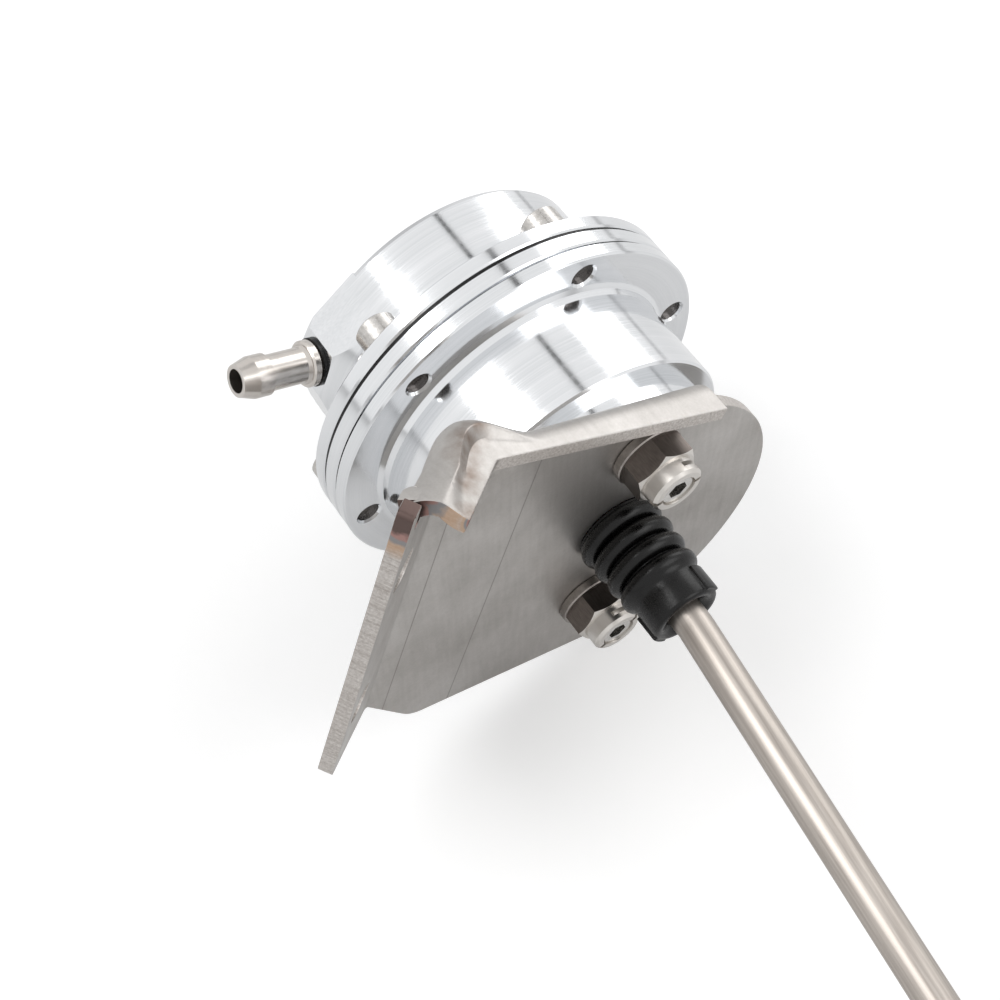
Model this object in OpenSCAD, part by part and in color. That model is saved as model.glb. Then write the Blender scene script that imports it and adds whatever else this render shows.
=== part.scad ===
// Turbo wastegate actuator on its bracket.
// The rod's axis is X and the bracket's back face is at X = 0, where the lower housing seats.
// The rod leaves towards +X, and the bracket's bent top lip is on the +Z side.

/* [Canister] */
// Width of the flanges and the middle ring beyond the lower housing's body
flange_w = 7.5; // [7:0.1:9]
// Width of the open seam's groove at the rim
seam_depth = 1; // [0.5:0.1:1.5]
// Thickness of the cap's flange
cap_flange_t = 2.7; // [2:0.1:4]
// Thickness of the middle ring
ring_t = 3.1; // [2.5:0.1:5]
// Thickness of the lower housing's flange
lower_flange_t = 2.7; // [2.4:0.1:4]
// Step from the lower housing's body in to the cap's drum
drum_step = 0.4; // [0.2:0.1:1]
// Length of the cap's drum beyond its flange
drum_len = 16.6; // [16:0.1:20]
// Thickness of the cap's end wall
cap_wall = 2.5; // [2:0.25:4]
// Thickness of the cap's side wall
cap_side_t = 4.6; // [4:0.1:5]
// Radius of the lower housing's body
body_r = 27.5; // [27:0.1:28]
// Length from the lower flange's face to the bracket
body_len = 24; // [23:0.5:30]
// Radius of the stepped end under the bracket
seat_r = 24.5; // [24:0.1:26]
// Length of the stepped end
seat_len = 7; // [4:0.5:9]
// Thickness of the lower housing's side wall
body_wall = 3.5; // [3.4:0.1:3.7]
// Thickness of the lower housing's end wall
end_wall = 8; // [7.5:0.25:9]
// Radius of the spigot that centres the bracket
spigot_r = 6.5; // [6:0.1:7]
// Height of the spigot
spigot_h = 2.3; // [1.5:0.1:2.4]

/* [Flange screws] */
// Number of flange screws
screw_count = 6; // [4:1:8]
// Distance of the screws' middle from the rim
screw_edge = 4; // [3.8:0.1:4.2]
// Direction of the first screw from +Y, in degrees
screw_start = 9; // [0:1:20]
// Radius of the screw's thread
screw_r = 2; // [1.5:0.1:2]
// Length of the screw under its head
screw_len = 8; // [7:0.5:10]
// Radius of the screw's head
screw_head_r = 3.5; // [3:0.1:3.6]
// Height of the screw's head
screw_head_h = 4; // [3:0.25:4]

/* [Hose nipple] */
// Direction of the nipple from +Y, in degrees
barb_dir = 158; // [150:0.5:165]
// Distance of the nipple's middle from the cap's end
barb_from_end = 4.4; // [4.3:0.05:4.6]
// Height of the nipple's boss above the cap's drum
boss_h = 2; // [1.8:0.1:2.6]
// Width of the flat on the boss
boss_w = 9; // [8.6:0.1:10]
// Length of the boss along the cap at its full height
boss_len = 8; // [7.8:0.1:9]
// Length of the nipple beyond its flat
barb_len = 14.8; // [14:0.1:24]
// Radius of the nipple's plain shank
barb_r = 3; // [2.8:0.1:3.2]
// Radius of the nipple's barb
barb_head_r = 3.5; // [3.3:0.1:3.8]
// Radius of the bore through the nipple
barb_bore_r = 2; // [1:0.1:2.2]
// Radius of the nipple's collar
barb_collar_r = 3.9; // [3.7:0.1:4]

/* [Piston and spring] */
// Travel of the rod
travel = 12; // [6:1:12]
// Thickness of the diaphragm
diaphragm_t = 0.5; // [0.4:0.1:0.8]
// Gap between the piston and the housing's bore, in which the diaphragm rolls
roll_gap = 4; // [3.6:0.1:4.4]
// Length of the piston
piston_len = 14; // [12:0.5:14]
// Thickness of the piston's wall
piston_wall = 2; // [1.5:0.1:2.2]
// Thickness of the piston's crown
crown_t = 2.5; // [2:0.25:3]
// Step from the piston's edge in to the retainer plate
retainer_step = 3; // [2:0.5:5]
// Thickness of the retainer plate
retainer_t = 1.5; // [1:0.25:2]
// Diameter of the spring's wire
wire_d = 2.4; // [2:0.1:2.5]
// Gap between the spring and the piston's wall
spring_side_gap = 1.4; // [1:0.1:2.5]
// Number of the spring's turns
spring_turns = 5; // [4:0.5:5]

/* [Rod and clevis] */
// Radius of the rod
rod_r = 3; // [2.8:0.1:3]
// Distance of the rod's bend from the bracket's back face
bend_x = 24; // [23.5:0.5:30]
// Angle of the rod's bend
bend_angle = 6; // [0.5:0.5:10]
// Radius of the rod's bend, at its middle line
bend_r = 12; // [9:1:20]
// Direction in which the rod bends away, from +Y
bend_side = 188.7; // [180:0.1:200]
// Length of the plain rod beyond the bend
tail_len = 78; // [60:1:120]
// Length of the rod's thread
thread_len = 22; // [20:1:30]
// Width of the clevis across its flats
clevis_w = 12; // [11:0.5:14]
// Width of the clevis slot
slot_w = 6; // [5:0.5:7]
// Radius of the clevis pin
pin_r = 3; // [2.5:0.1:3.2]
// Radius of the clevis neck
neck_r = 5; // [4.5:0.1:5.5]
// Distance from the neck's end to the pin
clevis_len = 24; // [22:1:30]
// Depth of the clevis slot behind the pin
slot_depth = 12; // [10:1:13]

/* [Bracket] */
// Thickness of the bracket's sheet
sheet_t = 2.5; // [2:0.1:3]
// Radius of the plate's round end
plate_r = 34.7; // [33:0.1:36]
// Inside radius of the top lip's bend
lip_ri = 1; // [0.8:0.1:1.5]
// Distance of the top lip's outer face from the rod's axis
lip_u = 31.5; // [31:0.1:34]
// Direction that the top lip's outer face looks in, from +Y
lip_dir = 65.7; // [64:0.1:67]
// Height of the top lip at its free end, from the back face
lip_h_right = 7.3; // [6.5:0.1:10]
// Height of the top lip at its corner, from the back face
lip_h_left = 4.7; // [4.5:0.1:6]
// Inside radius of the side flange's bend
side_ri = 1.5; // [1:0.1:2]
// Angle of the side flange's bend
side_angle = 35.9; // [30:0.1:40]
// Direction that the side flange runs in, from +Y
side_dir = 163.6; // [162:0.1:165]
// Width of the side flange beyond its bend
side_w = 13.5; // [13:0.5:18]
// Height of the lip on the side flange, from its back face
corner_h = 8.5; // [8:0.1:10]
// Length of the lip on the side flange
corner_len = 8.8; // [6:0.1:9.5]
// Radius of the bracket's mounting holes
mount_hole_r = 3.3; // [2.6:0.1:3.5]

/* [Studs and nuts] */
// Radius of the stud circle
stud_circle_r = 20; // [19:0.5:20.5]
// Direction of the upper stud from +Y, in degrees
stud_dir = 78; // [70:1:86]
// Radius of a stud
stud_r = 3; // [2.5:0.1:3]
// Depth of a stud in the lower housing
stud_depth = 6.5; // [5:0.1:6.8]
// Radius of a washer
washer_r = 6; // [5.5:0.1:6.5]
// Thickness of a washer
washer_t = 1.6; // [1:0.1:2]
// Width of a nut across its flats
nut_af = 10; // [9:0.5:10]
// Height of a lock nut's hexagon
nut_h = 4.2; // [3.5:0.1:5]
// Height of a lock nut's turret
turret_h = 3; // [2:0.1:3.5]
// Radius of a lock nut's turret
turret_r = 4.5; // [4.2:0.1:4.8]

/* [Boot] */
// Radius of the boot's first fold
fold_r = 7.6; // [7.2:0.1:8]
// Distance between two folds
fold_pitch = 3.4; // [3.3:0.05:3.6]
// Radius of the boot's neck
neck_collar_r = 6.3; // [6:0.1:6.6]
// Length of the boot's neck
neck_len = 6; // [5:0.25:7]
// Thickness of the boot's wall
boot_wall = 0.9; // [0.7:0.1:1]

/* [Clearances] */
// Clearance round a running shaft
running_gap = 0.05; // [0.02:0.01:0.08]
// Clearance round a thread
thread_gap = 0.02; // [0.01:0.01:0.05]
// Clearance round a screw in a plain hole
hole_gap = 0.3; // [0.1:0.05:0.5]
// Clearance of rubber from its neighbours
soft_gap = 0.3; // [0.2:0.05:0.4]

/* [Hidden] */
$fn = 64;
eps = 0.01;

// Radii of the canister
flange_r = body_r + flange_w;
drum_r = body_r - drum_step;
cap_bore_r = drum_r - cap_side_t;
housing_bore_r = body_r - body_wall;
screw_circle_r = flange_r - screw_edge;
piston_r = housing_bore_r - roll_gap;
retainer_r = piston_r - retainer_step;
spring_r = piston_r - piston_wall - wire_d / 2 - spring_side_gap;
// Turned-off edge of the cap's end: along the axis and across it
end_edge = [1, 0.6];
rim_edge = 0.3;
seam_gap = 0.25;

// Stations along the rod's axis, from the bracket to the cap's end
x_flange = -body_len;
x_ring = x_flange - lower_flange_t;
x_rim = x_ring - ring_t;
x_cap = x_rim - diaphragm_t;
x_head = x_cap - cap_flange_t;
x_end = x_head - drum_len;
x_cavity = x_end + cap_wall;
x_floor = -end_wall;
barb_x = x_end + barb_from_end;
flat_d = drum_r + boss_h;
x_boss = x_end + boss_len;
// Radius of the boss's two corners, and how far the boss slopes down towards the flange
boss_r = norm([flat_d, boss_w / 2]);
boss_slope = 3;

// The stack on the rod's inner end
end_gap = 0.5;
inner_r = 2.5;
inner_nut_h = 4;
x_inner = x_cavity + end_gap;
x_retainer = x_inner + inner_nut_h;
x_crown = x_retainer + retainer_t + diaphragm_t;
x_shoulder = x_crown + crown_t;
rod_collar_r = 5;
rod_collar_t = 2;
stop_gap = 0.2;
x_stop = x_shoulder + rod_collar_t + travel + stop_gap;

// Guide bush and boot
bush_r = 5;
bush_head_r = 7;
bush_head_t = 1.2;
groove_x = sheet_t + 0.7;
groove_w = 1.5;
groove_r = 4.1;
nose_r = 4.8;
bush_end = groove_x + groove_w + 1.3;
folds = 4;
fold_b = 1.6;
fold_taper = 0.16;
boot_x = sheet_t + soft_gap;
boot_bore_r = nose_r + soft_gap;
neck_x = boot_x + fold_b + fold_pitch * (folds - 1) + 1.4;
boot_end = neck_x + neck_len;

// Sealing ring in the lower flange
seal_r = housing_bore_r + 2.4;
seal_groove_w = 1.8;
seal_groove_d = 1.5;

// Lock nuts
nut_x = sheet_t + washer_t;
turret_top = nut_x + nut_h + turret_h;

// Spring
spring_gap = 0.1;
closed_pitch = wire_d + spring_gap;
spring_seat_t = 1;
x_spring_end = x_floor - spring_seat_t;

// Bends of the bracket
lip_ro = lip_ri + sheet_t;
corner_ro = lip_ro + 1.2;
side_ro = side_ri + sheet_t;
// A point on the line where the side flange starts to bend
side_y = -39.9;
side_z = 14.8;
// Ends of the top lip and of the side flange, measured along them
lip_right = 2.7;
lip_left = -36;
corner_p = -40.7;
side_low = 28;
side_join = 31;
side_top = 37.3;
relief_r = 0.9;
plate_centre = [-3.5, -7];
// Corners of the plate: Y, Z and radius
plate_foot = [7.4, -40];
plate_heel = [-40.4, -25];
heel_r = 6;
mount_holes = [-14, 20];
mount_hole_t = 8;

// The rod's bend: length of its tangents, and how much thinner it is than the straight rod
bend_tan = bend_r * tan(bend_angle / 2);
bend_thin = 0.02;

// Rod end
thread_step = 0.05;
jam_h = 3.2;
jam_x = tail_len + 5;
clevis_x = jam_x + jam_h;
pin_x = clevis_x + clevis_len;
clevis_tip = 7;
pin_over = 1.8;
pin_head_r = 4.5;
pin_head_t = 1.5;
clip_t = 0.7;
clip_r = 5.2;
clip_groove_r = pin_r - 0.7;

hex_k = 2 / sqrt(3);

function unit(v) = v / norm(v);
function mix(a, b, f) = a + (b - a) * f;
function arc(c, r, a0, a1, n) =
    [for (i = [0:n]) c + r * [cos(mix(a0, a1, i / n)), sin(mix(a0, a1, i / n))]];

// Points of a rounded corner at b between a and c
function corner(a, b, c, r, n = 8) =
    let (u = unit(a - b), v = unit(c - b), half = acos(u * v) / 2)
    let (m = b + unit(u + v) * r / sin(half))
    let (p = b + u * r / tan(half), q = b + v * r / tan(half))
    let (a0 = atan2(p[1] - m[1], p[0] - m[0]), a1 = atan2(q[1] - m[1], q[0] - m[0]))
    let (turn = a1 - a0 > 180 ? a1 - a0 - 360 : a1 - a0 < -180 ? a1 - a0 + 360 : a1 - a0)
    arc(m, r, a0, a0 + turn, n);

// Turns a profile drawn as [along X, radius] round the X axis
module turned(points) rotate([90, 0, 90]) rotate_extrude() polygon([for (p = points) [p[1], p[0]]]);

module along_x(x0, x1, r) translate([x0, 0, 0]) rotate([0, 90, 0]) cylinder(h = x1 - x0, r = r);

// Copies round the rod's axis, from the first direction on
module ring_of(count, radius, start)
    for (i = [0:count - 1]) rotate([start + i * 360 / count, 0, 0]) translate([0, radius, 0]) children();

module stud_places() ring_of(2, stud_circle_r, stud_dir) children();

module hex_x(x0, x1, af) translate([x0, 0, 0]) rotate([0, 90, 0]) cylinder(h = x1 - x0, d = af * hex_k, $fn = 6);

// A hexagon with its corners turned off at one or both ends
module hex_body(x0, x1, af, both) intersection() {
    hex_x(x0, x1, af);
    turned([[x0, 0], [x0, both ? af / 2 : af], [x0 + 0.8, both ? af / 2 + 1.4 : af],
        [x1 - 0.8, af / 2 + 1.4], [x1, af / 2], [x1, 0]]);
}

// The frame of the nipple: X runs outwards from the rod's axis
module barb_frame() rotate([barb_dir, 0, 0]) translate([barb_x, 0, 0]) rotate([0, 0, 90]) children();

// Cross section of the nipple's boss: a flat with two sides that run down to the drum as tangents
module boss_section() {
    side = asin(boss_w / 2 / boss_r) + acos(drum_r / boss_r);
    polygon([[0, 0], drum_r * [cos(side), -sin(side)], [flat_d, -boss_w / 2], [flat_d, boss_w / 2],
        drum_r * [cos(side), sin(side)]]);
}

module nipple_boss() intersection() {
    rotate([barb_dir, 0, 0]) rotate([90, 0, 90]) translate([0, 0, x_end]) linear_extrude(boss_len + boss_slope) boss_section();
    turned([[x_end, 0], [x_end, boss_r - end_edge[1]], [x_end + end_edge[0], boss_r + eps],
        [x_boss, boss_r + eps], [x_boss + boss_slope, drum_r - eps], [x_boss + boss_slope, 0]]);
}

module cap_housing() color("gainsboro") difference() {
    union() {
        turned([[x_end, 0], [x_end, drum_r - end_edge[1]], [x_end + end_edge[0], drum_r], [x_head, drum_r],
            [x_head, flange_r - rim_edge], [x_head + rim_edge, flange_r], [x_cap - rim_edge, flange_r],
            [x_cap, flange_r - rim_edge], [x_cap, 0]]);
        nipple_boss();
    }
    along_x(x_cavity, x_cap + 1, cap_bore_r);
    ring_of(screw_count, screw_circle_r, screw_start) along_x(x_head - 1, x_cap + 1, screw_r + hole_gap / 2);
    barb_frame() along_x(cap_bore_r - 1, flat_d + 1, barb_r + thread_gap);
}

module hose_barb() color("silver") barb_frame() difference() {
    turned([[cap_bore_r + 0.6, 0], [cap_bore_r + 0.6, barb_r], [flat_d, barb_r],
        [flat_d + 0.6, barb_r], [flat_d + 0.6, barb_collar_r - 0.2], [flat_d + 1, barb_collar_r],
        [flat_d + 2, barb_collar_r], [flat_d + 2.3, barb_collar_r - 0.3], [flat_d + 2.3, barb_r + 0.3],
        [flat_d + 2.9, barb_r], [flat_d + barb_len - 5.2, barb_r],
        [flat_d + barb_len - 5.2, barb_head_r], [flat_d + barb_len - 2.6, barb_head_r],
        [flat_d + barb_len, barb_bore_r + 0.7], [flat_d + barb_len, 0]]);
    along_x(0, flat_d + barb_len + 1, barb_bore_r);
}

module barb_seal() color("black") barb_frame()
    translate([flat_d + 0.3, 0, 0]) rotate([90, 0, 90]) rotate_extrude() translate([barb_r + 0.55, 0]) square([1, 0.55], center = true);

module flange_screws() color("dimgray") ring_of(screw_count, screw_circle_r, screw_start) difference() {
    union() {
        turned([[x_head - screw_head_h, 0], [x_head - screw_head_h, screw_head_r - 0.4],
            [x_head - screw_head_h + 0.4, screw_head_r], [x_head, screw_head_r], [x_head, 0]]);
        along_x(x_head - eps, x_head + screw_len, screw_r);
    }
    hex_x(x_head - screw_head_h - 1, x_head - screw_head_h + 2, 3);
}

// The ring stands back a little at its lower rim, which leaves the open seam
module middle_ring() color("gainsboro") difference() {
    turned([[x_rim, housing_bore_r + 0.6], [x_rim, flange_r - rim_edge], [x_rim + rim_edge, flange_r],
        [x_ring - seam_gap - rim_edge, flange_r], [x_ring - seam_gap, flange_r - rim_edge],
        [x_ring - seam_gap, flange_r - seam_depth], [x_ring, flange_r - seam_depth], [x_ring, housing_bore_r],
        [x_rim + 0.6, housing_bore_r]]);
    ring_of(screw_count, screw_circle_r, screw_start) along_x(x_rim - 1, x_ring + 1, screw_r + hole_gap / 2);
}

// Rim, outer leg, fold, inner leg and centre of the rolling diaphragm
module diaphragm() color("dimgray") {
    leg_out = housing_bore_r - soft_gap;
    leg_in = piston_r + soft_gap;
    mid_r = (leg_out + leg_in) / 2;
    big = (leg_out - leg_in) / 2;
    small = big - diaphragm_t;
    x_fold = x_ring - 1.2;
    difference() {
        rotate([90, 0, 90]) rotate_extrude() {
            translate([leg_out - diaphragm_t, x_cap]) square([flange_r - seam_depth - leg_out + diaphragm_t, diaphragm_t]);
            translate([leg_out - diaphragm_t, x_cap]) square([diaphragm_t, x_fold - x_cap]);
            translate([leg_in, x_crown - diaphragm_t]) square([diaphragm_t, x_fold - x_crown + diaphragm_t]);
            translate([inner_r + 0.1, x_crown - diaphragm_t]) square([leg_in + diaphragm_t - inner_r - 0.1, diaphragm_t]);
            translate([mid_r, x_fold]) intersection() {
                difference() {
                    circle(r = big);
                    circle(r = small);
                }
                translate([-big, 0]) square([2 * big, big]);
            }
        }
        ring_of(screw_count, screw_circle_r, screw_start) along_x(x_cap - 1, x_rim + 1, screw_r + hole_gap);
    }
}

module retainer_plate() color("silver") turned([[x_retainer, inner_r + running_gap],
    [x_retainer, retainer_r - 0.6], [x_retainer + 0.6, retainer_r],
    [x_retainer + retainer_t, retainer_r], [x_retainer + retainer_t, inner_r + running_gap]]);

module piston_nut() color("silver") difference() {
    hex_body(x_inner, x_retainer, 8, true);
    along_x(x_inner - 1, x_retainer + 1, inner_r + thread_gap);
}

module piston() color("lightgray") turned([[x_crown, inner_r + running_gap], [x_crown, piston_r - 1.5],
    [x_crown + 0.45, piston_r - 0.45], [x_crown + 1.5, piston_r], [x_crown + piston_len, piston_r],
    [x_crown + piston_len, piston_r - piston_wall], [x_shoulder + 1, piston_r - piston_wall],
    [x_shoulder, piston_r - piston_wall - 1], [x_shoulder, inner_r + running_gap]]);

// Place along the axis of the wire's centre after t turns: the first and last turns are closed
function spring_x(t, x0, x1) = t < 1 ? x0 + t * closed_pitch
    : t > spring_turns - 1 ? x1 - (spring_turns - t) * closed_pitch
    : mix(x0 + closed_pitch, x1 - closed_pitch, (t - 1) / (spring_turns - 2));

// A ring of points round the wire at each step along its turns
module main_spring() color("slategray") {
    sides = 8;
    steps = 20;
    wire = wire_d / 2;
    x0 = x_shoulder + wire + spring_gap;
    x1 = x_spring_end - wire - spring_gap;
    n = steps * spring_turns;
    points = [for (i = [0:n]) for (k = [0:sides - 1])
        let (a = 360 * i / steps, b = 360 * (k + 0.5) / sides, r = spring_r + wire * cos(b))
        [spring_x(i / steps, x0, x1) + wire * sin(b), r * cos(a), r * sin(a)]];
    polyhedron(points, concat([[for (k = [0:sides - 1]) k]],
        [for (i = [0:n - 1]) for (k = [0:sides - 1]) let (j = (k + 1) % sides)
            [i * sides + k, (i + 1) * sides + k, (i + 1) * sides + j, i * sides + j]],
        [[for (k = [sides - 1:-1:0]) n * sides + k]]));
}

module spring_seat() color("silver") turned([[x_spring_end, spring_r - wire_d / 2 - 1.2],
    [x_spring_end, spring_r + wire_d / 2 + 0.3], [x_floor, spring_r + wire_d / 2 + 0.3],
    [x_floor, spring_r - wire_d / 2 - 1.2]]);

module ring_seal() color("black") translate([x_ring + seal_groove_d / 2, 0, 0]) rotate([90, 0, 90])
    rotate_extrude() translate([seal_r, 0]) circle(r = seal_groove_d / 2 - 0.05, $fn = 24);

module lower_housing() color("gainsboro") difference() {
    union() {
        turned([[x_ring, 0], [x_ring, flange_r - rim_edge], [x_ring + rim_edge, flange_r],
            [x_flange - rim_edge, flange_r], [x_flange, flange_r - rim_edge], [x_flange, body_r + 1.2], [x_flange + 0.5, body_r + 0.4],
            [x_flange + 1.5, body_r], [-seat_len - 0.4, body_r], [-seat_len, body_r - 0.4],
            [-seat_len, seat_r], [-0.4, seat_r], [0, seat_r - 0.4], [0, spigot_r],
            [spigot_h, spigot_r], [spigot_h, 0]]);
    }
    along_x(x_ring - 1, x_floor, housing_bore_r);
    along_x(x_floor - 1, spigot_h + 1, bush_r);
    ring_of(screw_count, screw_circle_r, screw_start) {
        along_x(x_ring - 1, x_flange + 1, screw_r + thread_gap);
        translate([x_flange - 0.4, 0, 0]) rotate([0, 90, 0]) cylinder(h = 0.5, r1 = screw_r, r2 = screw_r + 0.5);
    }
    stud_places() along_x(-stud_depth, 1, stud_r + thread_gap);
    translate([x_ring - eps, 0, 0]) rotate([0, 90, 0]) difference() {
        cylinder(h = seal_groove_d, r = seal_r + seal_groove_w / 2);
        translate([0, 0, -1]) cylinder(h = seal_groove_d + 2, r = seal_r - seal_groove_w / 2);
    }
}

// The sleeve inside the housing stops the rod's collar at full travel
module guide_bush() color("peru") turned([[x_stop, rod_r + running_gap], [x_stop, bush_r - 0.3],
    [x_stop + 0.3, bush_r], [x_floor - bush_head_t, bush_r],
    [x_floor - bush_head_t, bush_head_r], [x_floor, bush_head_r], [x_floor, bush_r],
    [groove_x, bush_r], [groove_x, groove_r], [groove_x + groove_w, groove_r],
    [groove_x + groove_w, nose_r], [bush_end - 0.5, nose_r], [bush_end, nose_r - 0.5],
    [bush_end, rod_r + running_gap]]);

// The frame of a bent edge: X runs outwards across the edge, Y is the sheet's front side, Z runs along it
module edge_frame(direction) rotate([direction, 0, 0]) rotate(a = 180, v = [1, 1, 0]) children();

module side_frame() translate([0, side_y, side_z]) edge_frame(side_dir) children();

// The frame of the side flange beyond its bend, with its back face at Y = 0
module flange_frame() side_frame() translate([0, side_ro, 0]) rotate([0, 0, side_angle])
    translate([0, -side_ro, 0]) children();

// Cross section of a bend that turns towards the sheet's front side
module bend_section(ri, turn) translate([0, ri + sheet_t]) intersection() {
    difference() {
        circle(r = ri + sheet_t);
        circle(r = ri);
    }
    polygon([[0, 0], [0, -20], [20 * sin(turn), -20], [20 * sin(turn), -20 * cos(turn)]]);
}

// Directions of the side bend as seen in the top lip's frame: across, front, along
side_n = [cos(side_dir - lip_dir), 0, -sin(side_dir - lip_dir)];
side_up = [cos(side_dir - lip_dir - 90), 0, -sin(side_dir - lip_dir - 90)];
front = [0, 1, 0];
side_point = [side_y * cos(lip_dir) + side_z * sin(lip_dir), 0,
    side_y * sin(lip_dir) - side_z * cos(lip_dir)];

// Back of the sheet round the side bend, at the height of the top lip's outer face
function back_edge(turn, along) =
    let (v = side_point + side_ro * front + side_ro * (sin(turn) * side_n - cos(turn) * front)
        + along * (cos(turn) * side_n + sin(turn) * front))
    v + side_up * (lip_u - v[0]) / side_up[0];

corner_dir = unit(back_edge(side_angle, 10) - back_edge(side_angle, 0));
corner_in = [0, -corner_dir[2], corner_dir[1]];
corner_tip = back_edge(side_angle, corner_len) + corner_h * corner_in;
corner_inner = [lip_u, lip_h_left, corner_p];

// One cross section of the lip's corner: outer edge, free edge, bend radius and the wall's normal
function corner_section(o, e, ro, normal) =
    let (h = unit(e - o), len = norm(e - o))
    let (down = unit([-1, 0, 0] + (normal * [1, 0, 0]) * normal))
    let (ri = ro - sheet_t, n = 7)
    concat([o + len * h], [for (i = [0:n]) o + (ro - ro * sin(90 * i / n)) * h + (ro - ro * cos(90 * i / n)) * down],
        [o + (ro + 1.2) * down, o + (ro + 1.2) * down + sheet_t * h],
        [for (i = [n:-1:0]) o + (ro - ri * sin(90 * i / n)) * h + (ro - ri * cos(90 * i / n)) * down],
        [o + len * h + sheet_t * down]);

// The top lip along the plate, round the side bend and along the side flange
module lip() {
    steps = 8;
    plate_part = [for (p = [lip_right, lip_left, -38.5, corner_p, -44]) [[lip_u, 0, p],
        p < corner_p ? corner_inner : [lip_u, mix(lip_h_right, lip_h_left, (lip_right - p) / (lip_right - corner_p)), p],
        mix(lip_ro, corner_ro, max(0, (lip_left - p) / 12)), front]];
    bend_part = [for (i = [0:steps]) let (f = i / steps, turn = side_angle * f)
        [back_edge(turn, 0), mix(corner_inner, corner_tip, 0.02 + 0.25 * f), corner_ro,
            unit(cos(turn) * front - sin(turn) * side_n)]];
    flange_part = [for (f = [0.4, 0.7, 1])
        [back_edge(side_angle, corner_len * f), mix(corner_inner, corner_tip, mix(0.27, 1, f)), corner_ro,
            cos(side_angle) * front - sin(side_angle) * side_n]];
    rows = [for (s = concat(plate_part, bend_part, flange_part)) corner_section(s[0], s[1], s[2], s[3])];
    m = len(rows[0]);
    last = len(rows) - 1;
    polyhedron([for (row = rows) for (p = row) p],
        concat([[for (k = [0:m - 1]) k]],
            [for (i = [0:last - 1]) for (k = [0:m - 1]) let (j = (k + 1) % m)
                [i * m + k, (i + 1) * m + k, (i + 1) * m + j, i * m + j]],
            [[for (k = [m - 1:-1:0]) last * m + k]]));
}

function lip_point(u, p) = [u * cos(lip_dir) + p * sin(lip_dir), u * sin(lip_dir) - p * cos(lip_dir)];
function side_at(s) = [side_y + s * cos(side_dir - 90), side_z + s * sin(side_dir - 90)];

module plate_outline() {
    u_top = lip_u - lip_ro;
    arc_top = lip_dir - 5;
    arc_low = -62;
    top_left = side_at(side_join);
    polygon(concat(
        [lip_point(u_top, lip_right)],
        arc(plate_centre, plate_r, arc_top, arc_low, 40),
        corner(plate_centre + plate_r * [cos(arc_low), sin(arc_low)], plate_foot, plate_heel, 8),
        corner(plate_foot, plate_heel, side_at(-side_low), heel_r),
        [side_at(-side_low), top_left]));
}

module bracket() color("darkgray") difference() {
    union() {
        rotate([90, 0, 90]) linear_extrude(sheet_t) plate_outline();
        edge_frame(lip_dir) lip();
        side_frame() translate([0, 0, -side_low]) linear_extrude(side_low + side_join) bend_section(side_ri, side_angle);
        flange_frame() rotate([-90, 0, 0]) mirror([0, 1, 0]) linear_extrude(sheet_t) side_outline();
    }
    along_x(-1, sheet_t + 1, spigot_r + hole_gap / 2);
    stud_places() along_x(-1, sheet_t + 1, stud_r + hole_gap);
    flange_frame() for (z = mount_holes) translate([mount_hole_t, -1, z]) rotate([-90, 0, 0])
        cylinder(h = sheet_t + 2, r = mount_hole_r);
}

// The side flange seen flat: across, along
module side_outline() polygon(concat([[0, -side_low], [0, side_join], [corner_len, side_join + 0.5]],
    arc([corner_len + relief_r, side_join + 1.5], relief_r, 180, 360, 8),
    [[corner_len + 2 * relief_r, side_top]],
    corner([0, side_top], [side_w, side_top], [side_w, 0], 0.8, 4),
    corner([side_w, 0], [side_w, -side_low], [0, -side_low], 1.2, 4)));

module mounting_studs() color("silver") stud_places() difference() {
    turned([[-stud_depth, 0], [-stud_depth, stud_r], [turret_top - 0.6, stud_r], [turret_top - 0.3, stud_r - 0.3], [turret_top - 0.3, 0]]);
    hex_x(turret_top - 3.3, turret_top + 1, 3);
}

module stud_washers() color("silver") stud_places() difference() {
    turned([[sheet_t, 0], [sheet_t, washer_r - 0.2], [sheet_t + 0.2, washer_r], [nut_x - 0.2, washer_r], [nut_x, washer_r - 0.2], [nut_x, 0]]);
    along_x(sheet_t - 1, nut_x + 1, stud_r + hole_gap / 2);
}

module lock_nuts() color("gray") for (i = [0, 1]) rotate([stud_dir + 180 * i, 0, 0]) translate([0, stud_circle_r, 0])
    rotate([4.9 + 24 * i - stud_dir - 180 * i, 0, 0]) difference() {
        union() {
            hex_body(nut_x, nut_x + nut_h, nut_af, false);
            turned([[nut_x + nut_h - eps, 0], [nut_x + nut_h - eps, turret_r], [turret_top - 0.5, turret_r],
                [turret_top, turret_r - 0.5], [turret_top, 0]]);
        }
        along_x(nut_x - 1, turret_top + 1, stud_r + thread_gap);
        translate([nut_x + nut_h + 0.9, stud_r - 1.2, -6]) cube([0.8, 5, 12]);
        translate([turret_top - 1.2, -6, -0.4]) cube([2, 12, 0.8]);
    }

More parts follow.
